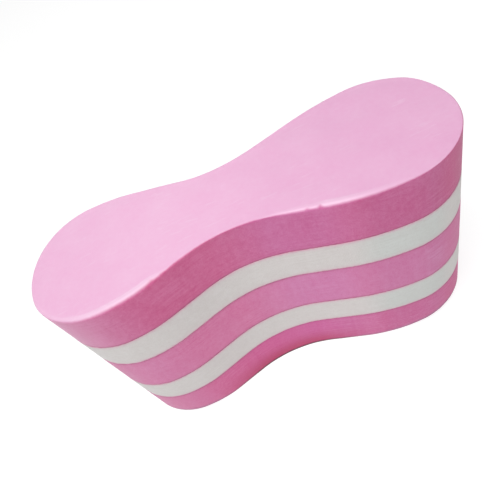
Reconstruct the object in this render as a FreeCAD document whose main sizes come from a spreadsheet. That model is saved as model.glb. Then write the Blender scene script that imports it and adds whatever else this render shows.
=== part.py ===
import FreeCAD, Part

# A laminated foam pull buoy, in millimetres.
#
# Five foam sheets with one figure-eight outline are stacked along +Z, and a thin film of
# adhesive fills each of the four joints between them. +X runs from the small lobe to the
# large lobe, +Y runs across the lobes, and the origin is the middle of the base.

import math
import os

import Sketcher

CELLS = "sizes"
SIZES = (
    ("overall_length", 230.0),  # from tip to tip
    ("large_lobe_radius", 39.5),  # half of the width over the large lobe
    ("small_lobe_radius", 38.1),  # half of the width over the small lobe
    ("waist_half_width", 23.4),  # half of the foam left between the two waist hollows
    ("waist_offset", 7.2),  # from the middle of the length towards the small lobe
    ("waist_radius", 85.0),  # of the hollow that each thigh lies in
    ("large_flank_angle", 17.6),  # slope of the straight run up to the large lobe
    ("small_flank_angle", 18.8),  # slope of the straight run up to the small lobe
    ("outer_thickness", 28.7),  # of the bottom and top sheets
    ("middle_thickness", 31.0),
    ("white_thickness", 21.0),
    ("film_thickness", 0.3),
    ("rim_radius", 1.3),  # round the edge of the base and of the upper face
)

# The stack from the base up: each piece's name and the cell that holds its thickness.
STACK = (
    ("bottom_pink_sheet", "outer_thickness"),
    ("bottom_glue_film", "film_thickness"),
    ("lower_white_sheet", "white_thickness"),
    ("lower_middle_glue_film", "film_thickness"),
    ("middle_pink_sheet", "middle_thickness"),
    ("upper_middle_glue_film", "film_thickness"),
    ("upper_white_sheet", "white_thickness"),
    ("top_glue_film", "film_thickness"),
    ("top_pink_sheet", "outer_thickness"),
)

# The two outer sheets have a rounded rim, round this face.
RIMS = {"bottom_pink_sheet": "lower", "top_pink_sheet": "upper"}

# Each lobe, and whether it lies towards +X or -X.
LOBES = (("large", 1), ("small", -1))
# Each long side of the outline, and whether it lies towards +Y or -Y.
SIDES = (("back", 1), ("front", -1))

# Sketcher's numbers for the points of an edge, for the sketch's X axis and for its origin.
START, END, CENTRE = 1, 2, 3
X_AXIS = -1
ORIGIN = (-1, 1)

UP = FreeCAD.Vector(0, 0, 1)
QUARTER = math.pi / 2
TOLERANCE = 1e-6


def fill_cells(document):
    """Puts the driving dimensions in a sheet, one named cell each."""
    sheet = document.addObject("Spreadsheet::Sheet", CELLS)
    for row, (alias, value) in enumerate(SIZES, 1):
        sheet.set(f"A{row}", alias)
        sheet.set(f"B{row}", str(value))
        sheet.setAlias(f"B{row}", alias)
    document.recompute()
    return sheet


def point_on(x, y, radius, angle):
    """The point of a circle about (x, y) at an angle."""
    return FreeCAD.Vector(x + radius * math.cos(angle), y + radius * math.sin(angle), 0)


def add_arc(sketch, x, y, radius, angle, other_angle):
    """Adds the arc about (x, y) between two angles, and returns its number."""
    circle = Part.Circle(FreeCAD.Vector(x, y, 0), UP, radius)
    start, end = sorted((angle, other_angle))
    return sketch.addGeometry(Part.ArcOfCircle(circle, start, end))


def bind(sketch, name, expression, *constraint):
    """Adds a named dimension that follows an expression of the cells."""
    index = sketch.addConstraint(Sketcher.Constraint(*constraint))
    sketch.renameConstraint(index, name)
    sketch.setExpression(f"Constraints.{name}", expression)


def bind_offset(sketch, name, expression, direction, edge, value):
    """Binds how far an arc's centre lies from the origin, on whichever side it is."""
    centre = (edge, CENTRE)
    ends = (*ORIGIN, *centre) if value > 0 else (*centre, *ORIGIN)
    bind(sketch, name, expression, direction, *ends, abs(value))


def slope(sheet, lobe):
    return math.radians(sheet.get(f"{lobe}_flank_angle"))


def waist_rise(sheet):
    """How far the centre of a waist arc lies from the X axis."""
    return sheet.waist_half_width + sheet.waist_radius


def shoulder_radius(sheet, lobe, along):
    """The radius that is tangent both at the lobe's widest point and to its flanks."""
    angle = slope(sheet, lobe)
    lobe_radius = sheet.get(f"{lobe}_lobe_radius")
    run = sheet.overall_length / 2 - lobe_radius + along * sheet.waist_offset
    across_flank = run * math.sin(angle) + waist_rise(sheet) * math.cos(angle)
    spare = across_flank - sheet.waist_radius - lobe_radius * math.cos(angle)
    return spare / (1 - math.cos(angle))


def draw_waist(sketch, sheet, side, across):
    """The hollow of one long side. Returns the number of its arc."""
    rise = across * waist_rise(sheet)
    crown = -across * QUARTER
    arc = add_arc(
        sketch,
        -sheet.waist_offset,
        rise,
        sheet.waist_radius,
        crown - across * slope(sheet, "small"),
        crown + across * slope(sheet, "large"),
    )
    bind(sketch, f"waist_radius_{side}", f"{CELLS}.waist_radius", "Radius", arc, sheet.waist_radius)
    bind_offset(sketch, f"waist_offset_{side}", f"{CELLS}.waist_offset",
                "DistanceX", arc, -sheet.waist_offset)
    bind_offset(sketch, f"waist_rise_{side}", f"{CELLS}.waist_half_width + {CELLS}.waist_radius",
                "DistanceY", arc, rise)
    return arc


def draw_lobe_end(sketch, sheet, lobe, along):
    """The half circle round one tip. Returns its number."""
    radius = sheet.get(f"{lobe}_lobe_radius")
    centre_x = along * (sheet.overall_length / 2 - radius)
    arc = add_arc(sketch, centre_x, 0, radius, QUARTER, QUARTER - along * math.pi)
    sketch.addConstraint(Sketcher.Constraint("PointOnObject", arc, CENTRE, X_AXIS))
    bind(sketch, f"{lobe}_lobe_radius", f"{CELLS}.{lobe}_lobe_radius", "Radius", arc, radius)
    bind_offset(sketch, f"{lobe}_lobe_centre",
                f"{CELLS}.overall_length / 2 - {CELLS}.{lobe}_lobe_radius",
                "DistanceX", arc, centre_x)
    return arc


def draw_shoulder_and_flank(sketch, sheet, lobe_end, waist, lobe, along, side, across):
    """The flatter arc and the straight run between a lobe's half circle and a waist arc."""
    turn = along * across
    lobe_radius = sheet.get(f"{lobe}_lobe_radius")
    lobe_x = along * (sheet.overall_length / 2 - lobe_radius)
    radius = shoulder_radius(sheet, lobe, along)
    centre_y = across * (lobe_radius - radius)
    widest = across * QUARTER
    leaving = widest + turn * slope(sheet, lobe)
    shoulder = add_arc(sketch, lobe_x, centre_y, radius, widest, leaving)

    # A flank is drawn towards +X, whichever lobe it runs up to.
    rise = across * waist_rise(sheet)
    outer = point_on(lobe_x, centre_y, radius, leaving)
    inner = point_on(-sheet.waist_offset, rise, sheet.waist_radius, leaving + math.pi)
    run = (inner, outer) if along > 0 else (outer, inner)
    flank = sketch.addGeometry(Part.LineSegment(*run))

    # Every arc is anticlockwise, so which of its points comes first swaps from quarter to quarter.
    near, far = (START, END) if turn > 0 else (END, START)
    inner_point, outer_point = (START, END) if along > 0 else (END, START)
    for joint in (
        (lobe_end, far, shoulder, near),
        (shoulder, far, flank, outer_point),
        (flank, inner_point, waist, far),
    ):
        sketch.addConstraint(Sketcher.Constraint("Tangent", *joint))
    sketch.addConstraint(Sketcher.Constraint("Vertical", lobe_end, CENTRE, shoulder, CENTRE))
    bind(sketch, f"{lobe}_flank_angle_{side}", f"{turn} * {CELLS}.{lobe}_flank_angle * 1 deg",
         "Angle", flank, turn * slope(sheet, lobe))


def draw_outline(sketch, sheet):
    """The closed figure eight, with every size bound to the cells."""
    waists = {side: draw_waist(sketch, sheet, side, across) for side, across in SIDES}
    for lobe, along in LOBES:
        lobe_end = draw_lobe_end(sketch, sheet, lobe, along)
        for side, across in SIDES:
            draw_shoulder_and_flank(
                sketch, sheet, lobe_end, waists[side], lobe, along, side, across
            )


def level_face(shape, height):
    """The name of the flat face that lies level at a height."""
    for number, face in enumerate(shape.Faces, 1):
        box = face.BoundBox
        if box.ZLength < TOLERANCE and abs(box.ZMin - height) < TOLERANCE:
            return f"Face{number}"
    raise ValueError(f"no level face at {height}")


def add_piece(document, sheet, name, thickness_cell, below):
    """One piece of the stack: the outline padded to its thickness, on top of those below."""
    body = document.addObject("PartDesign::Body", name)
    body.Label = name
    floor = next(f for f in body.Origin.OriginFeatures if f.Role == "XY_Plane")
    sketch = body.newObject("Sketcher::SketchObject", f"{name}_outline")
    sketch.AttachmentSupport = [(floor, "")]
    sketch.MapMode = "FlatFace"
    draw_outline(sketch, sheet)
    pad = body.newObject("PartDesign::Pad", f"{name}_pad")
    pad.Profile = sketch
    pad.setExpression("Length", f"{CELLS}.{thickness_cell}")
    if name in RIMS:
        document.recompute()
        height = sheet.get(thickness_cell) if RIMS[name] == "upper" else 0.0
        rim = level_face(pad.Shape, height)
        fillet = body.newObject("PartDesign::Fillet", f"{name}_rim")
        fillet.Base = (pad, [rim])
        fillet.setExpression("Radius", f"{CELLS}.rim_radius")
    if below:
        body.setExpression("Placement.Base.z", " + ".join(f"{CELLS}.{cell}" for cell in below))
    return body


def build_stack(document, sheet):
    pieces = []
    below = []
    for name, thickness_cell in STACK:
        pieces.append(add_piece(document, sheet, name, thickness_cell, below))
        below.append(thickness_cell)
    document.recompute()
    return pieces


def check(document, pieces):
    """Stops the build if any object failed, or if a piece isn't one sound solid."""
    for item in document.Objects:
        if "Invalid" in item.State or "Error" in item.State:
            raise RuntimeError(f"{item.Name} failed: {item.State}")
        if item.isDerivedFrom("Sketcher::SketchObject") and not item.FullyConstrained:
            raise RuntimeError(f"{item.Name} isn't fully constrained")
    for piece in pieces:
        shape = piece.Shape
        if shape.isNull() or not shape.isValid() or len(shape.Solids) != 1:
            raise RuntimeError(f"{piece.Label} isn't one valid solid")


def export(pieces):
    os.makedirs("parts", exist_ok=True)
    for piece in pieces:
        piece.Shape.exportStep(f"parts/{piece.Label}.step")
        box = piece.Shape.optimalBoundingBox()
        print(f"{piece.Label}: {piece.Shape.Volume / 1000:.1f} cm3, "
              f"{box.XLength:.1f} x {box.YLength:.1f} mm, z {box.ZMin:.1f} to {box.ZMax:.1f}")


def main():
    document = FreeCAD.newDocument("pull_buoy")
    sheet = fill_cells(document)
    pieces = build_stack(document, sheet)
    check(document, pieces)
    export(pieces)


main()
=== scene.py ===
# The looks of a laminated foam pull buoy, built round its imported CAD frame. Metres, +Z up,
# +X towards the large lobe. Each sheet of foam is one closed mesh: a cut wall with the marks
# that the cutter left, rounded edges and two faces. Each film of adhesive is a thin bead at
# the bottom of the groove between two sheets.

import math

import bpy
import numpy as np
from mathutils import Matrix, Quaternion, Vector


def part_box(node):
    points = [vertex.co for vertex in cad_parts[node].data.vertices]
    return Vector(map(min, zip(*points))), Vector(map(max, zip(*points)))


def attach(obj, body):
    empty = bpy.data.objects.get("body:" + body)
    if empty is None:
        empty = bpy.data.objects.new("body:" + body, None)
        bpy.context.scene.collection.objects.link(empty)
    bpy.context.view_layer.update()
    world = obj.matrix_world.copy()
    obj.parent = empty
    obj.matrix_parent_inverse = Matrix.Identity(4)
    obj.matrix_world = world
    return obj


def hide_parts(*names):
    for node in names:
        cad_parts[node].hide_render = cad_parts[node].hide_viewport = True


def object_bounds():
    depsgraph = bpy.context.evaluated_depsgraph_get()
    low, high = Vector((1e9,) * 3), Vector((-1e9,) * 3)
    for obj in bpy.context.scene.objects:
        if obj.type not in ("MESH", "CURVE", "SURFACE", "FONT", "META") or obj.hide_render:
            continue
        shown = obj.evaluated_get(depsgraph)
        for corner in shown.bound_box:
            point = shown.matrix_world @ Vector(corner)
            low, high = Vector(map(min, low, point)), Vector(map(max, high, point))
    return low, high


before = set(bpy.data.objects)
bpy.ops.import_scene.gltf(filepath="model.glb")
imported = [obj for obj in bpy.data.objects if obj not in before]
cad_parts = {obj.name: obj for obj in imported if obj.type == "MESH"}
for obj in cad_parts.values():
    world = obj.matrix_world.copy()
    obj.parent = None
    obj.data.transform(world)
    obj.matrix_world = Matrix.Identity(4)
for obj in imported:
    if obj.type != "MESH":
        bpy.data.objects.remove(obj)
cad_low, cad_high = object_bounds()

MM = 0.001
QUARTER = math.pi / 2
TURN = 2 * math.pi

# Outline -------------------------------------------------------------------------------------
# The figure eight that every piece shares. The tips and the widest part of the large lobe
# come from the frame.

HALF_LENGTH = (cad_high.x - cad_low.x) / 2
LARGE_LOBE_RADIUS = (cad_high.y - cad_low.y) / 2
TOP = cad_high.z
SMALL_LOBE_RADIUS = 38.1 * MM
LARGE_FLANK_SLOPE = math.radians(17.6)
SMALL_FLANK_SLOPE = math.radians(18.8)
WAIST_HALF_WIDTH = 23.4 * MM
WAIST_RADIUS = 85.0 * MM
WAIST_OFFSET = 7.2 * MM  # from the middle of the length towards the small lobe

COLUMNS = 1008  # points round the outline, about 0.55 mm apart


def on_arc(x, y, radius, angle):
    """(x, y, angle) of the point of a circle about (x, y)."""
    return x + radius * math.cos(angle), y + radius * math.sin(angle), angle


class Quarter:
    """The outline from a lobe's tip, towards +X, to the middle of the waist at +Y."""

    def __init__(self, lobe_radius, slope, waist_x):
        self.lobe_radius = lobe_radius
        self.lobe_x = HALF_LENGTH - lobe_radius
        self.slope = slope
        self.waist = Vector((waist_x, WAIST_HALF_WIDTH + WAIST_RADIUS))
        # The shoulder's circle touches the lobe's at its widest point. The straight run touches
        # both that circle and the waist's, which lies on its other side.
        normal = Vector((-math.sin(slope), math.cos(slope)))
        spare = self.waist.dot(normal) - WAIST_RADIUS - self.lobe_x * normal.x
        self.shoulder_radius = (spare - lobe_radius * normal.y) / (1 - normal.y)
        self.shoulder_y = lobe_radius - self.shoulder_radius
        self.run_start = Vector((self.lobe_x, self.shoulder_y)) + self.shoulder_radius * normal
        self.run = self.waist - WAIST_RADIUS * normal - self.run_start
        self.stretches = (
            lobe_radius * QUARTER,
            self.shoulder_radius * slope,
            self.run.length,
            WAIST_RADIUS * slope,
        )
        self.length = sum(self.stretches)

    def at(self, distance):
        """(x, y, the angle of the outward normal) at a distance from the tip."""
        end_arc, shoulder, run, _ = self.stretches
        if distance < end_arc:
            return on_arc(self.lobe_x, 0, self.lobe_radius, distance / self.lobe_radius)
        distance -= end_arc
        if distance < shoulder:
            angle = QUARTER + distance / self.shoulder_radius
            return on_arc(self.lobe_x, self.shoulder_y, self.shoulder_radius, angle)
        distance -= shoulder
        if distance < run:
            point = self.run_start + self.run * (distance / run)
            return point.x, point.y, QUARTER + self.slope
        angle = QUARTER + self.slope - (distance - run) / WAIST_RADIUS
        x, y, _ = on_arc(self.waist.x, self.waist.y, -WAIST_RADIUS, angle)
        return x, y, angle


# Where the cutter strayed from the outline: how far outwards, where, as a distance round from
# the large lobe's tip, and over what length to each side. Most of it is on the back.
STRAYS = (
    (1.0 * MM, 28 * MM, 10 * MM),
    (-1.1 * MM, 90 * MM, 30 * MM),
    (1.3 * MM, 172 * MM, 15 * MM),
    (-0.7 * MM, 215 * MM, 16 * MM),
    (-0.6 * MM, 277 * MM, 16 * MM),
)

# Where it leaned inwards near the top, in the same terms.
LEANS = (
    (1.0 * MM, 405 * MM, 20 * MM),
    (0.4 * MM, 505 * MM, 28 * MM),
)


def hump(x, centre, width):
    """1 at the centre, and falling smoothly to 0 on both sides."""
    return np.exp(-(((x - centre) / width) ** 2))


def humps(x, rows):
    """The sum of several humps. Each row has its height, its centre and its width."""
    return sum(height * hump(x, centre, width) for height, centre, width in rows)


def ramp(x, start, end):
    """0 before the start and 1 after the end, with a smooth climb between."""
    share = np.clip((x - start) / (end - start), 0, 1)
    return share * share * (3 - 2 * share)


class Outline:
    """Evenly spaced points round the figure eight, anticlockwise from the large lobe's tip."""

    def __init__(self):
        large = Quarter(LARGE_LOBE_RADIUS, LARGE_FLANK_SLOPE, -WAIST_OFFSET)
        small = Quarter(SMALL_LOBE_RADIUS, SMALL_FLANK_SLOPE, WAIST_OFFSET)
        half = large.length + small.length
        rows = []
        for column in range(COLUMNS):
            distance = 2 * half * column / COLUMNS
            behind = distance <= half
            from_tip = distance if behind else 2 * half - distance
            if from_tip <= large.length:
                x, y, angle = large.at(from_tip)
            else:
                x, y, angle = small.at(half - from_tip)
                x, angle = -x, math.pi - angle
            rows.append((x, y, angle) if behind else (x, -y, -angle))
        self.x, self.y, angle = np.array(rows).T
        self.share = np.arange(COLUMNS) / COLUMNS
        self.around = 2 * half * self.share
        self.normals = np.stack([np.cos(angle), np.sin(angle)], 1)
        stray = humps(self.around, STRAYS)
        self.lean = humps(self.around, LEANS)
        self.points = np.stack([self.x, self.y], 1) + self.normals * stray[:, None]
        self.spine = np.stack([np.clip(self.x, -small.lobe_x, large.lobe_x), 0 * self.x], 1)

    def inset(self, depth):
        """The outline moved inwards, by one depth or by one for each column."""
        return self.points - self.normals * np.broadcast_to(depth, COLUMNS)[:, None]


outline = Outline()

# Relief --------------------------------------------------------------------------------------

# How deep each kind of mark is. The first two run up through the whole block, and each sheet
# has its own of the others.
SWAY = 0.06 * MM
CHATTER = 0.014 * MM
SLIP = 0.035 * MM
BODY = 0.03 * MM
GRAIN = 0.012 * MM

WEAR = 0.022 * MM  # how high each wave of the worn upper face is
WEAR_FADE = 0.15  # the share of the way from the edge to the spine over which it sets in

LEAN_START, LEAN_END = 0.5 * TOP, 0.85 * TOP


def waves(seed, count, turns, per_metre, height=0.0):
    """Smooth noise round the outline at one height or at one for each column, about -1 to 1.

    turns is the range of whole waves round the outline, and per_metre that of waves upwards.
    Each use has a seed of its own.
    """
    random = np.random.default_rng(seed)
    total = np.zeros(COLUMNS)
    for _ in range(count):
        around = random.integers(turns[0], turns[1] + 1) * outline.share
        upwards = random.uniform(*per_metre) * random.choice((-1, 1)) * height
        total += np.cos(TURN * (around + upwards + random.random()))
    return total / math.sqrt(count)


def block_relief(height):
    """How far the whole block stands out of the outline at a height.

    The sway and the chatter of the cutter run up through all the sheets, and near the top it
    leaned inwards in places.
    """
    sway = waves(11, 8, (3, 14), (0, 4), height)
    chatter = waves(12, 14, (90, 170), (0, 3), height)
    chatter_patches = 0.5 + 0.5 * waves(13, 6, (2, 9), (2, 12), height)
    lean = outline.lean * ramp(height, LEAN_START, LEAN_END)
    return SWAY * sway + CHATTER * chatter * chatter_patches - lean


def sheet_relief(seed, height):
    """How far one sheet's wall stands out of the block's."""
    slip = waves(seed, 5, (0, 4), (0, 2), height)
    body = waves(seed + 1, 12, (6, 45), (5, 45), height)
    grain = waves(seed + 2, 24, (2, 30), (120, 500), height)
    return SLIP * slip + BODY * body + GRAIN * grain


class Edge:
    """A rounded edge all round: how far it reaches over the face and down the wall.

    drag is how far the cutter dragged the skin of the face down over it, as a share of the turn.
    stretched is how far a painted highlight pales that skin, and the next argument how much painted
    shade darkens the edge, both 0 to 1. A rim, unlike a joint, ends on the plain outline.
    """

    def __init__(self, reach, drop, rows, drag=0.0, stretched=0.0, foot_shaded=0.0, rim=False):
        self.reach = np.broadcast_to(reach, COLUMNS)
        self.drop = np.broadcast_to(drop, COLUMNS)
        self.drag = np.broadcast_to(drag, COLUMNS)
        self.stretched = np.broadcast_to(stretched, COLUMNS)
        self.foot_shaded = foot_shaded
        self.rim = rim
        self.rows = rows

    def steps(self):
        """(inset, drop, how far round from the wall to the face, 0 to 1) of each row."""
        for step in range(self.rows + 1):
            angle = QUARTER * step / self.rows
            yield (
                self.reach * (1 - math.cos(angle)),
                self.drop * (1 - math.sin(angle)),
                step / self.rows,
            )


PINK_JOINT_ROUNDING = 0.40 * MM
WHITE_JOINT_ROUNDING = 0.15 * MM
JOINT_ROWS = 4
RIM_ROWS = 9

# Along the front: how much, and in millimetres where along X and how far to each side.
BASE_SOFTNESS = ((6.4, 96, 30), (1.0, 50, 30), (3.7, -86, 32))
TOP_NICKS = ((0.6, 29.3, 0.9), (0.9, 35, 1.0), (0.3, -49, 1.5), (0.2, -43.5, 1.0))


def joint_edge(seed, rounding=PINK_JOINT_ROUNDING):
    """The edge of a sheet where it was bonded to the next before the block was cut."""
    size = rounding * (1 + 0.22 * waves(seed, 20, (8, 120), (0, 0)))
    return Edge(size, size, JOINT_ROWS)


def base_edge():
    """The rim of the base, which is roundest at the front of the two lobes. In millimetres."""
    x = outline.x / MM
    front = ramp(-outline.y / MM, -22, 10)
    wander = waves(32, 16, (5, 60), (0, 0))
    size = MM * (0.2 + front * humps(x, BASE_SOFTNESS) + 0.04 * wander)
    # Painted shade darkens the rounding and the wall just over it, and the pale skin is held back
    # from the rounding.
    return Edge(size, 0.9 * size, RIM_ROWS, drag=-0.45, foot_shaded=1.0, rim=True)


def top_edge():
    """The rim of the upper face, in millimetres.

    It is softest round the front of the small lobe, where two nicks end the soft stretch.
    Along the front of the large lobe it has two more nicks, and it is soft just past them.
    """
    x = outline.x / MM
    front = outline.y < 0
    until_nicks = front * (1 - ramp(x, -53, -36))
    small_lobe = until_nicks * (0.3 * ramp(x, -116, -104) + 0.7 * ramp(x, -104, -66))
    small_tip = 0.45 * hump(x, -118, 12)
    before_soft = ramp(-outline.y / MM, -12, 6) * (1 - ramp(x, -98, -74))
    waist = front * ramp(x, -46, -36) * (1 - ramp(x, 4, 14))
    large_lobe = front * ramp(x, 6, 26) * (1 - ramp(x, 60, 88))
    past_nicks = front * ramp(x, 33, 38) * (1 - ramp(x, 40, 64))
    softness = np.max([small_lobe, small_tip, 0.3 * waist, 0.7 * large_lobe], axis=0)
    softness = softness + 0.25 * past_nicks
    nicks = front * humps(x, TOP_NICKS)
    wander = waves(31, 16, (5, 60), (0, 0))
    reach = 0.9 + 2.6 * softness + 0.06 * wander + 0.35 * nicks
    drop = 0.7 + 1.4 * softness + 0.05 * wander + 0.45 * nicks
    drag = 0.1 * small_lobe + 0.25 * before_soft + 0.2 * large_lobe - 0.12 * waist - 0.3 * nicks
    # Painted highlight: how pale the skin is painted over the rounding.
    stretched = until_nicks * (0.3 * ramp(x, -116, -104) + 0.55 * ramp(x, -104, -80))
    stretched = stretched + 0.3 * large_lobe + 0.35 * past_nicks
    return Edge(MM * reach, MM * drop, RIM_ROWS, drag, stretched, rim=True)


def level(x, y):
    """A face with no rise and fall."""
    return np.zeros_like(x)


def worn(x, y):
    """The slight rise and fall of the upper face."""
    random = np.random.default_rng(21)
    total = np.zeros_like(x)
    for _ in range(14):
        angle = TURN * random.random()
        length = random.uniform(14, 60) * MM
        along = (x * math.cos(angle) + y * math.sin(angle)) / length
        total += np.cos(TURN * (along + random.random()))
    return WEAR * total


# Meshes --------------------------------------------------------------------------------------

ROW_HEIGHT = 0.6 * MM

# How strongly the glue tints the foam at a joint, and over what height: darkly close by, and
# faintly farther off.
DARK_STAIN, DARK_STAIN_DEPTH = 1.35, 0.8 * MM
FAINT_STAIN, FAINT_STAIN_DEPTH = 0.11, 3.0 * MM
# Painted shade over the base's rim fades out over this height.
FOOT_SHADE_HEIGHT = 2.5 * MM  # how far a soiled edge fades up the wall over it

# How far a film's edge lies inside the outline, how much that wanders, and how far the edge
# bulges.
GLUE_INSET = 0.17 * MM
GLUE_WANDER = 0.06 * MM
GLUE_BULGE = 0.04 * MM

# A face is filled with rings inwards to the spine: how many, how much of the way they reach
# from the edge to the spine, and the columns of the outline that each of their points covers.
SEEN_FACE = ((4, 0.10, 1), (10, 0.38, 2), (8, 0.76, 4), (4, 0.96, 8))
HIDDEN_FACE = ((1, 0.04, 2), (1, 0.30, 4), (2, 0.95, 8))


class Shell:
    """A closed surface made of rings of points, each ring anticlockwise seen from above."""

    def __init__(self):
        self.points = []
        self.faces = []
        # Layers per point: skin, a painted highlight, glue stain and painted shade.
        self.skin = []
        self.stretched = []
        self.stain = []
        self.foot_shade = []
        self.size = 0

    def ring(self, flat, height, skin=0.0, stretched=0.0, stain=0.0, foot_shade=0.0):
        """Adds a ring of points, and returns the numbers of its points."""
        count = len(flat)
        self.points.append(np.column_stack([flat, np.broadcast_to(height, count)]))
        self.skin.append(np.broadcast_to(skin, count))
        self.stretched.append(np.broadcast_to(stretched, count))
        self.stain.append(np.broadcast_to(stain, count))
        self.foot_shade.append(np.broadcast_to(foot_shade, count))
        self.size += count
        return range(self.size - count, self.size)

    def band(self, low, high):
        """Quads between two rings of one size, the first being the lower or the outer."""
        for at in range(len(low)):
            after = (at + 1) % len(low)
            self.faces.append((low[at], low[after], high[after], high[at]))

    def halving_band(self, outer, inner):
        """Triangles between a ring and one of half its points inside it."""
        for at in range(len(inner)):
            after = (at + 1) % len(inner)
            start, middle, end = outer[2 * at], outer[2 * at + 1], outer[2 * after]
            self.faces.append((start, middle, inner[at]))
            self.faces.append((middle, inner[after], inner[at]))
            self.faces.append((middle, end, inner[after]))

    def close(self, ring):
        """Faces straight across the spine, inside the innermost ring."""
        half = len(ring) // 2
        self.faces.append((ring[0], ring[1], ring[-1]))
        for at in range(1, half - 1):
            self.faces.append((ring[at], ring[at + 1], ring[-at - 1], ring[-at]))
        self.faces.append((ring[half - 1], ring[half], ring[half + 1]))

    def fill(self, edge_ring, reach, height, plan, upwards, dome=level):
        """Fills the face inside a ring, which lies in from the outline by its reach."""
        first_face = len(self.faces)
        brink = outline.inset(reach)
        outer, reached = edge_ring, 0.0
        for count, final_share, spacing in plan:
            for share in np.linspace(reached, final_share, count + 1)[1:]:
                rim, spine = brink[::spacing], outline.spine[::spacing]
                flat = rim + (spine - rim) * share
                rise = dome(*flat.T) * ramp(share, 0.0, WEAR_FADE)
                inner = self.ring(flat, height + rise, skin=1.0)
                join = self.band if len(inner) == len(outer) else self.halving_band
                join(outer, inner)
                outer = inner
            reached = final_share
        self.close(outer)
        if not upwards:
            flipped = [tuple(reversed(face)) for face in self.faces[first_face:]]
            self.faces[first_face:] = flipped

    def piece(self, name, material):
        """Makes the object, riding on the one body that the part has."""
        mesh = bpy.data.meshes.new(name)
        mesh.from_pydata(np.concatenate(self.points).tolist(), [], self.faces)
        mesh.shade_smooth()
        # The layers hold the skin, a painted highlight, the glue stain and painted shade.
        for layer in ("skin", "stretched", "stain", "foot_shade"):
            attribute = mesh.attributes.new(layer, "FLOAT", "POINT")
            values = np.concatenate(getattr(self, layer)).astype(np.float32)
            attribute.data.foreach_set("value", values)
        mesh.materials.append(material)
        piece = bpy.data.objects.new(name, mesh)
        bpy.context.scene.collection.objects.link(piece)
        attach(piece, "root")
        return piece


def stain_at(height, joints):
    """How much the joints of a sheet tint its wall at a height, most of all at a joint."""
    total = 0
    for joint in joints:
        away = np.abs(height - joint)
        total = total + DARK_STAIN * np.exp(-away / DARK_STAIN_DEPTH)
        total = total + FAINT_STAIN * np.exp(-away / FAINT_STAIN_DEPTH)
    return total


def sheet_shell(low, high, under, over, seed, under_plan, over_plan, dome=level):
    """One sheet of foam between two heights, with an edge under it and an edge over it.

    The block's relief runs on past the joints, so that neighbouring sheets stay flush.
    """
    shell = Shell()
    faces = ((low, under_plan), (high, over_plan))
    joints = [height for height, plan in faces if plan is HIDDEN_FACE]
    start, end = low + under.drop, high - over.drop

    def wall(inset, height, share, edge):
        relief = sheet_relief(seed, height) * (1 - share)
        relief = relief + block_relief(height) * (1 - share * edge.rim)
        flat = outline.inset(inset - relief)
        skin = share + edge.drag * (share > 0)
        # Painted highlight over the rim of the upper face.
        painted_highlight = edge.stretched * ramp(share, 0.1, 0.5)
        # Painted shade over the base's rim, fading out up the wall.
        foot_shade = under.foot_shaded * (1 - ramp(height - start, 0, FOOT_SHADE_HEIGHT))
        return shell.ring(flat, height, skin, painted_highlight, stain_at(height, joints), foot_shade)

    under_steps, over_steps = list(under.steps()), list(over.steps())
    rows = round((high - low) / ROW_HEIGHT)
    rings = [wall(inset, low + drop, share, under) for inset, drop, share in reversed(under_steps)]
    rings += [wall(0, start + (end - start) * row / rows, 0.0, over) for row in range(1, rows)]
    rings += [wall(inset, high - drop, share, over) for inset, drop, share in over_steps]
    for below, above in zip(rings, rings[1:]):
        shell.band(below, above)
    under_reach = under.reach - block_relief(low) * (not under.rim)
    over_reach = over.reach - block_relief(high) * (not over.rim)
    shell.fill(rings[0], under_reach, low, under_plan, upwards=False)
    shell.fill(rings[-1], over_reach, high, over_plan, upwards=True, dome=dome)
    return shell


def film_shell(low, high, seed):
    """One film of adhesive, whose uneven outer edge lies at the bottom of the groove."""
    shell = Shell()
    inset = GLUE_INSET + GLUE_WANDER * waves(seed, 40, (10, 200), (0, 0))
    inset = inset - block_relief((low + high) / 2)
    shoulder = (high - low) / 4
    middle = ((low + shoulder, GLUE_BULGE), (high - shoulder, GLUE_BULGE))
    profile = ((low, 0), *middle, (high, 0))
    rings = [shell.ring(outline.inset(inset - out), height) for height, out in profile]
    for below, above in zip(rings, rings[1:]):
        shell.band(below, above)
    shell.fill(rings[0], inset, low, HIDDEN_FACE, upwards=False)
    shell.fill(rings[-1], inset, high, HIDDEN_FACE, upwards=True)
    return shell


# Materials -----------------------------------------------------------------------------------

PINK_BY_SHEET = {
    "bottom_pink_sheet": (0.765, 0.162, 0.392),
    "middle_pink_sheet": (0.79, 0.230, 0.468),
    "top_pink_sheet": (0.72, 0.153, 0.36),
}
PINK_SKIN = (0.885, 0.49, 0.72)
WHITE = (0.79, 0.755, 0.735)
REDDER = (0.95, 0.02, 0.15)
# Painted sheen: the lilac veil just past the waist.
LILAC_SHEEN = (0.50, 0.25, 0.75)
VIVID_PINK = (0.74, 0.03, 0.33)
# Painted shade down towards the floor in the waist, and a painted contact shadow at its foot.
FLOOR_SHADE_PINK = (0.56, 0.02, 0.12)
CONTACT_SHADOW = (0.06, 0.01, 0.02)
# Painted shade over the rim of the base.
FOOT_SHADE = (0.20, 0.16, 0.20)
GLUE = (0.55, 0.10, 0.23)
PINK_STAIN = (0.58, 0.125, 0.28)
WHITE_STAIN = (0.78, 0.36, 0.52)

# Painted shade: what a wall's colours are multiplied by round the small lobe and towards the large
# lobe's tip.
SMALL_LOBE_SHADE = (0.92, 0.92, 0.93)
PINK_END_SHADE = (0.92, 0.95, 0.98)
WHITE_END_SHADE = (0.90, 0.97, 0.96)

# How far a wall's colour is mixed towards each tint, where the tint is at its fullest. The lilac
# tint is a painted sheen, the tint over the base's rim is painted shade, and the two deep tints are
# painted shade and a painted contact shadow near the floor.
REDDER_SHARE = 0.09
LILAC_SHEEN_SHARE = 0.1
VIVID_SHARE = 0.3
FOOT_SHADE_SHARE = 0.4
FLOOR_SHADE_SHARE = 0.85
CONTACT_SHADOW_SHARE = 0.9

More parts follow.
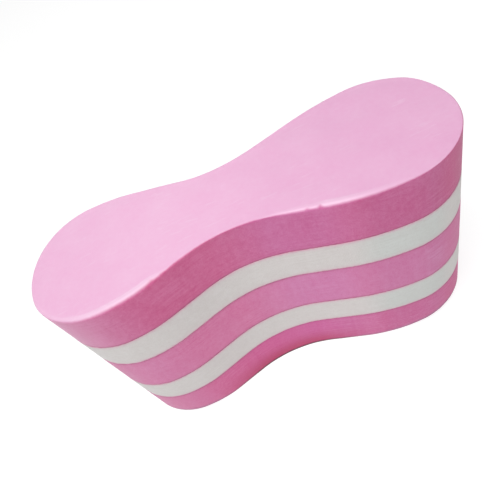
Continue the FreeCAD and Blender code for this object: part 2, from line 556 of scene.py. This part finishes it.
# Along X, in millimetres, where these sheets turn more scratched, and where a painted sheen turns
# them paler and by how much.
COMBED = {"middle_pink_sheet": (72, 86)}
PAINTED_SHEEN = {"top_pink_sheet": (-60, -110, 0.55), "bottom_pink_sheet": (-60, -84, 0.14)}

MIX_FACTOR, MIX_A, MIX_B, MIX_RESULT = 0, 6, 7, 2  # the colour sockets of a Mix node
FLOAT_A, FLOAT_B, FLOAT_RESULT = 2, 3, 0  # and its float sockets


class Shading:
    """The nodes of one material. Lengths are millimetres on the part."""

    def __init__(self, name):
        self.material = bpy.data.materials.new(name)
        self.material.use_nodes = True
        self.tree = self.material.node_tree
        self.shader = self.tree.nodes["Principled BSDF"]
        self.place = self.node("ShaderNodeTexCoord").outputs["Object"]

    def feed(self, socket, value):
        if isinstance(value, bpy.types.NodeSocket):
            self.tree.links.new(value, socket)
        else:
            socket.default_value = value

    def node(self, kind, inputs=None, **settings):
        node = self.tree.nodes.new(kind)
        for setting, value in settings.items():
            setattr(node, setting, value)
        for socket, value in (inputs or {}).items():
            self.feed(node.inputs[socket], value)
        return node

    def set_shader(self, values):
        for socket, value in values.items():
            self.feed(self.shader.inputs[socket], value)

    def math(self, operation, *values):
        node = self.node("ShaderNodeMath", dict(enumerate(values)), operation=operation)
        return node.outputs["Value"]

    def mix_colours(self, share, first, second):
        inputs = {MIX_FACTOR: share, MIX_A: first, MIX_B: second}
        return self.node_mix(inputs, "RGBA", MIX_RESULT)

    def mixed(self, where, share, colour, tint):
        """A colour mixed by a share towards a tint, there where the tint goes."""
        return self.mix_colours(self.math("MULTIPLY", where, share), colour, (*tint, 1))

    def mix_values(self, share, first, second):
        inputs = {MIX_FACTOR: share, FLOAT_A: first, FLOAT_B: second}
        return self.node_mix(inputs, "FLOAT", FLOAT_RESULT)

    def multiplied(self, share, colour, tone):
        inputs = {MIX_FACTOR: share, MIX_A: colour, MIX_B: (*tone, 1)}
        return self.node_mix(inputs, "RGBA", MIX_RESULT, "MULTIPLY")

    def node_mix(self, inputs, data_type, output, blend_type="MIX"):
        node = self.tree.nodes.new("ShaderNodeMix")
        node.data_type = data_type
        node.blend_type = blend_type
        for socket, value in inputs.items():
            self.feed(node.inputs[socket], value)
        return node.outputs[output]

    def attribute(self, name):
        return self.node("ShaderNodeAttribute", attribute_name=name).outputs["Fac"]

    def stretched(self, factors):
        """The place on the part, for a pattern that is that much longer along each axis."""
        inputs = {0: self.place, 1: factors}
        return self.node("ShaderNodeVectorMath", operation="DIVIDE", inputs=inputs).outputs[0]

    def noise(self, size, detail=2.0, stretch=(1, 1, 1)):
        inputs = {"Vector": self.stretched(stretch), "Scale": 1 / (size * MM), "Detail": detail}
        return self.node("ShaderNodeTexNoise", inputs).outputs["Fac"]

    def cells(self, size):
        """How far it is to the middle of the nearest foam cell, in cells."""
        inputs = {"Vector": self.place, "Scale": 1 / (size * MM)}
        return self.node("ShaderNodeTexVoronoi", inputs).outputs["Distance"]

    def blend(self, middle, *patterns):
        """A value that wanders about a middle. Each pattern has an amount and its own middle."""
        total = middle - sum(amount * centre for _, amount, centre in patterns)
        for pattern, amount, _ in patterns:
            total = self.math("MULTIPLY_ADD", pattern, amount, total)
        return total

    def gated(self, pattern, patch_size, stretch=None):
        """A pattern's swing about its middle, in patches and all over past a stretch along X."""
        gate = self.between(self.noise(patch_size, 1), 0.44, 0.62)
        if stretch:
            gate = self.math("MAXIMUM", gate, self.math("MULTIPLY", self.along("X", *stretch), 1.3))
        return self.math("MULTIPLY", self.math("SUBTRACT", pattern, 0.5), gate)

    def between(self, value, low, high):
        """0 below one value and 1 above another, with a smooth climb between."""
        inputs = {"Value": value, "From Min": low, "From Max": high}
        node = self.node("ShaderNodeMapRange", inputs, interpolation_type="SMOOTHSTEP")
        return node.outputs["Result"]

    def along(self, axis, start, end):
        """0 before one place along an axis and 1 after another, in millimetres."""
        split = self.node("ShaderNodeSeparateXYZ", {0: self.place})
        return self.between(split.outputs[axis], start * MM, end * MM)

    def within(self, axis, start, full, last_full, end):
        """0 before and after a stretch along an axis and 1 in its middle, in millimetres."""
        return self.math("MULTIPLY", self.along(axis, start, full), self.along(axis, end, last_full))

    def raise_by(self, height):
        """Bumps the surface by a height in millimetres."""
        inputs = {"Strength": 1.0, "Distance": MM, "Height": height}
        normal = self.node("ShaderNodeBump", inputs).outputs["Normal"]
        self.set_shader({"Normal": normal})


def dyed(colour, strength):
    """A colour with more of its dye, or with less if the strength is under 1."""
    return (*(channel**strength for channel in colour), 1.0)


def reddened_with_lilac_sheen(shading, colour):
    """A pink that turns a little redder in the waist and, with a painted sheen, more lilac just past
    it.
    """
    colour = shading.mixed(shading.within("X", -80, -50, -26, -6), REDDER_SHARE, colour, REDDER)
    return shading.mixed(shading.within("X", -12, 14, 30, 56), LILAC_SHEEN_SHARE, colour, LILAC_SHEEN)


def shaded_at_lobe_ends(shading, colour, end_shade):
    """A wall's colour with painted shade, a little greyer round the small lobe and at the end of the
    large one.
    """
    colour = shading.multiplied(shading.along("X", -84, -112), colour, SMALL_LOBE_SHADE)
    return shading.multiplied(shading.within("X", 40, 60, 84, 98), colour, end_shade)


def vivid_with_floor_shade(shading, colour):
    """A wall's colour, more vivid in the waist, with painted shade just over the rim of the base,
    and with painted shade that turns it deeper and redder down towards the floor in the waist,
    ending in a painted contact shadow at the foot."""
    waist = shading.within("X", -74, -26, 6, 55)
    middle = shading.within("X", -60, -20, 6, 40)
    low = shading.math("MULTIPLY", shading.along("Z", 20, 0), waist)
    contact_shadow_zone = shading.math("MULTIPLY", shading.along("Z", 2.4, 0.9), waist)
    colour = shading.mixed(middle, VIVID_SHARE, colour, VIVID_PINK)
    colour = shading.mixed(shading.attribute("foot_shade"), FOOT_SHADE_SHARE, colour, FOOT_SHADE)
    colour = shading.mixed(low, FLOOR_SHADE_SHARE, colour, FLOOR_SHADE_PINK)
    return shading.mixed(contact_shadow_zone, CONTACT_SHADOW_SHARE, colour, CONTACT_SHADOW)


class FoamPatterns:
    """The patterns that make up the colour, the gloss and the bumps of foam."""

    def __init__(self, shading, combed):
        self.clouds = shading.noise(16, 3)
        self.mottle = shading.noise(2.4, 4)
        self.grain = shading.noise(0.9, 3)
        self.cells = shading.cells(0.42)
        self.streaks = shading.gated(shading.noise(1.2, 3, (16, 16, 1)), 30, combed)
        self.chatter = shading.gated(shading.noise(2.2, 2, (1, 1, 14)), 22)


def cut_colour(shading, patterns, cut, skin, painted_sheen):
    """The colour of the cut wall, before the glue stains it."""
    shade = shading.blend(
        0.5,
        (patterns.clouds, 0.9, 0.5), (patterns.mottle, 1.2, 0.5), (patterns.grain, 0.9, 0.5),
        (patterns.streaks, 1.6, 0), (patterns.chatter, 0.7, 0), (patterns.cells, 0.5, 0.45),
    )
    if skin:
        # Painted shade: the pink walls turn deeper towards the large lobe's tip.
        shade = shading.math("MULTIPLY_ADD", shading.along("X", 36, 56), -0.12, shade)
        shade = shading.math("MULTIPLY_ADD", shading.along("X", 84, 100), -0.45, shade)
    colour = shading.mix_colours(shade, dyed(cut, 1.2), dyed(cut, 0.83))
    if skin:
        colour = reddened_with_lilac_sheen(shading, colour)
    colour = shaded_at_lobe_ends(shading, colour, PINK_END_SHADE if skin else WHITE_END_SHADE)
    # Painted sheen: the cut wall turns paler towards the small lobe's tip.
    if painted_sheen:
        start, end, strength = painted_sheen
        colour = shading.mixed(shading.along("X", start, end), strength, colour, skin)
    return colour


def glue_stained(shading, colour, stain_colour):
    """A wall's colour, tinted in patches next to the joints."""
    patchy = shading.blend(0.55, (shading.noise(1.6, 3), 1.0, 0.5))
    stain = shading.math("MULTIPLY", shading.attribute("stain"), patchy)
    return shading.mix_colours(stain, colour, (*stain_colour, 1))


def skin_looks(shading, patterns, skin):
    """The colour, the bumps and the roughness of the smooth skin, with its light scuffs."""
    clouds, mottle = patterns.clouds, patterns.mottle
    worn_patch = shading.between(shading.noise(22, 1), 0.45, 0.65)
    strokes = shading.between(shading.noise(1.5, 2, (6, 1, 1)), 0.56, 0.72)
    scuffs = shading.math("MULTIPLY", strokes, worn_patch)
    shade = shading.blend(0.5, (clouds, 0.9, 0.5), (mottle, 0.7, 0.5), (scuffs, 0.5, 0.1))
    # Painted sheen: the face turns paler towards the small lobe.
    shade = shading.math("MULTIPLY_ADD", shading.along("X", 30, -90), 0.2, shade)
    colour = shading.mix_colours(shade, dyed(skin, 1.15), dyed(skin, 0.87))
    # Painted highlight along the rim of the upper face.
    colour = shading.mix_colours(shading.attribute("stretched"), colour, dyed(skin, 0.66))
    height = shading.blend(0.0, (patterns.grain, 0.03, 0.5), (mottle, 0.03, 0.5), (scuffs, 0.01, 0))
    roughness = shading.blend(0.38, (mottle, 0.12, 0.5), (scuffs, 0.1, 0))
    return colour, height, roughness


def foam_material(name, cut, stain_colour, skin=None, combed=None, painted_sheen=None, paints_floor_shade=False):
    """Closed-cell foam: a cut wall of opened cells and, on a faced sheet, a smooth skin.

    From the start to the end of combed, along X, the level scratches of the cutter set in, which are
    only in patches elsewhere. From the start to the end of the next argument a painted sheen turns
    the cut wall paler, by the last of its three values. The last argument is for the sheet on the
    floor, and paints shade and a contact shadow down towards the floor.
    """
    shading = Shading(name)
    patterns = FoamPatterns(shading, combed)
    colour = cut_colour(shading, patterns, cut, skin, painted_sheen)
    colour = glue_stained(shading, colour, stain_colour)
    if paints_floor_shade:
        colour = vivid_with_floor_shade(shading, colour)
    height = shading.blend(
        0.0,
        (patterns.cells, 0.10, 0.45), (patterns.grain, 0.10, 0.5), (patterns.streaks, 0.16, 0),
        (patterns.chatter, 0.10, 0), (patterns.mottle, 0.08, 0.5),
    )
    roughness = shading.blend(0.62, (patterns.mottle, 0.25, 0.5), (patterns.clouds, 0.15, 0.5))

    if skin:
        skin_colour, skin_height, skin_roughness = skin_looks(shading, patterns, skin)
        ragged = shading.math("MULTIPLY_ADD", patterns.mottle, 0.1, shading.attribute("skin"))
        on_skin = shading.between(ragged, 0.30, 0.90)
        colour = shading.mix_colours(on_skin, colour, skin_colour)
        height = shading.mix_values(on_skin, height, skin_height)
        roughness = shading.mix_values(on_skin, roughness, skin_roughness)

    shading.raise_by(height)
    shading.set_shader({
        "Base Color": colour,
        "Roughness": roughness,
        "Specular IOR Level": 0.45,
        "Sheen Weight": 0.1,
        "Sheen Roughness": 0.4,
    })
    return shading.material


def glue_material():
    """The set adhesive, mottled and slightly uneven."""
    shading = Shading("glue")
    mottle = shading.noise(1.3, 3)
    shade = shading.blend(0.5, (mottle, 1.2, 0.5))
    shading.set_shader({
        "Base Color": shading.mix_colours(shade, dyed(GLUE, 1.2), dyed(GLUE, 0.8)),
        "Roughness": shading.blend(0.4, (mottle, 0.3, 0.5)),
    })
    shading.raise_by(shading.blend(0.0, (shading.noise(0.6, 2), 0.06, 0.5)))
    return shading.material


# Pieces --------------------------------------------------------------------------------------


def add_sheet(node, slot, material, under, over, seed, under_plan=HIDDEN_FACE,
              over_plan=HIDDEN_FACE, dome=level):
    """One sheet of foam, between the heights of its node in the frame."""
    low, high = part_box(node)
    shell = sheet_shell(low.z, high.z, under, over, seed, under_plan, over_plan, dome)
    piece = shell.piece(f"{node}_foam", material)
    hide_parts(node)


def add_sheets():
    pinks = {
        node: foam_material(f"{node}_pink", colour, PINK_STAIN, PINK_SKIN, COMBED.get(node),
                            PAINTED_SHEEN.get(node), paints_floor_shade=node == "bottom_pink_sheet")
        for node, colour in PINK_BY_SHEET.items()
    }
    white = foam_material("white", WHITE, WHITE_STAIN)
    lower_white = joint_edge(42, WHITE_JOINT_ROUNDING), joint_edge(43, WHITE_JOINT_ROUNDING)
    upper_white = joint_edge(46, WHITE_JOINT_ROUNDING), joint_edge(47, WHITE_JOINT_ROUNDING)
    add_sheet("bottom_pink_sheet", "pink_foam", pinks["bottom_pink_sheet"],
              base_edge(), joint_edge(41), 50, under_plan=SEEN_FACE)
    add_sheet("lower_white_sheet", "white_foam", white, *lower_white, 60)
    add_sheet("middle_pink_sheet", "pink_foam", pinks["middle_pink_sheet"],
              joint_edge(44), joint_edge(45), 70)
    add_sheet("upper_white_sheet", "white_foam", white, *upper_white, 80)
    add_sheet("top_pink_sheet", "pink_foam", pinks["top_pink_sheet"],
              joint_edge(48), top_edge(), 90, over_plan=SEEN_FACE, dome=worn)


def add_films():
    material = glue_material()
    films = [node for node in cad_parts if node.endswith("_film")]
    for seed, node in enumerate(films, 101):
        low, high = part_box(node)
        piece = film_shell(low.z, high.z, seed).piece(f"{node}_bead", material)
        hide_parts(node)


# Stage ---------------------------------------------------------------------------------------

# The camera's orbit about a point near the part's middle: how far round it is from the front,
# towards +X, how high, and how far it is tilted. The lens and the sensor are in millimetres.
VIEW_AZIMUTH = math.radians(6.98)
VIEW_ELEVATION = math.radians(48.70)
VIEW_ROLL = math.radians(28.85)
VIEW_DISTANCE = 289.7 * MM
VIEW_AIM = Vector((-8.01, 18.21, 65.8)) * MM
LENS = 32.98
SENSOR_WIDTH = 36.0
NEAREST_SEEN = 10 * MM

FLOOR_HALF_WIDTH = 6.0
FLOOR_COLOUR = (0.25, 0.25, 0.25, 1)
FLOOR_GLOW = 0.86  # lights the floor up to a plain pale backdrop
SURROUNDINGS_GLOW = 0.16
WHITE_LIGHT = (1, 1, 1, 1)

# Each lamp: its name, where it is, its width in metres and its power in watts.
SOFTBOXES = (
    ("overhead", (-0.18, -0.22, 1.10), 0.5, 8.7),
    ("far_side", (-0.25, 0.85, 0.95), 0.6, 1.6),
)
MIDDLE = Vector((0, 0, 66 * MM))  # what the lamps point at


def aimed(data, name, location, direction, roll=0.0):
    """Adds a camera or a lamp that looks along a direction."""
    item = bpy.data.objects.new(name, data)
    item.location = location
    item.rotation_mode = "QUATERNION"
    level_view = direction.to_track_quat("-Z", "Y")
    item.rotation_quaternion = level_view @ Quaternion((0, 0, 1), roll)
    bpy.context.scene.collection.objects.link(item)
    return item


def add_camera():
    flat = math.cos(VIEW_ELEVATION)
    towards_camera = Vector((
        math.sin(VIEW_AZIMUTH) * flat,
        -math.cos(VIEW_AZIMUTH) * flat,
        math.sin(VIEW_ELEVATION),
    ))
    data = bpy.data.cameras.new("camera")
    data.lens = LENS
    data.sensor_width = SENSOR_WIDTH
    data.clip_start = NEAREST_SEEN
    location = VIEW_AIM + towards_camera * VIEW_DISTANCE
    bpy.context.scene.camera = aimed(data, "camera", location, -towards_camera, -VIEW_ROLL)


def add_softbox(name, location, width, power):
    data = bpy.data.lights.new(name, "AREA")
    data.shape = "DISK"
    data.size = width
    data.energy = power
    location = Vector(location)
    aimed(data, name, location, MIDDLE - location)


def add_floor():
    corners = [(x * FLOOR_HALF_WIDTH, y * FLOOR_HALF_WIDTH, 0)
               for x, y in ((-1, -1), (1, -1), (1, 1), (-1, 1))]
    mesh = bpy.data.meshes.new("floor")
    mesh.from_pydata(corners, [], [(0, 1, 2, 3)])
    floor = bpy.data.objects.new("floor", mesh)
    shading = Shading("floor")
    shading.set_shader({
        "Base Color": FLOOR_COLOUR,
        "Roughness": 0.9,
        "Emission Color": WHITE_LIGHT,
        "Emission Strength": FLOOR_GLOW,
    })
    mesh.materials.append(shading.material)
    bpy.context.scene.collection.objects.link(floor)


def add_world():
    world = bpy.data.worlds.new("studio")
    world.use_nodes = True
    background = world.node_tree.nodes["Background"]
    background.inputs["Color"].default_value = WHITE_LIGHT
    background.inputs["Strength"].default_value = SURROUNDINGS_GLOW
    bpy.context.scene.world = world


bpy.context.scene.view_settings.view_transform = "Standard"
add_camera()
add_world()
add_floor()
for lamp in SOFTBOXES:
    add_softbox(*lamp)
add_sheets()
add_films()
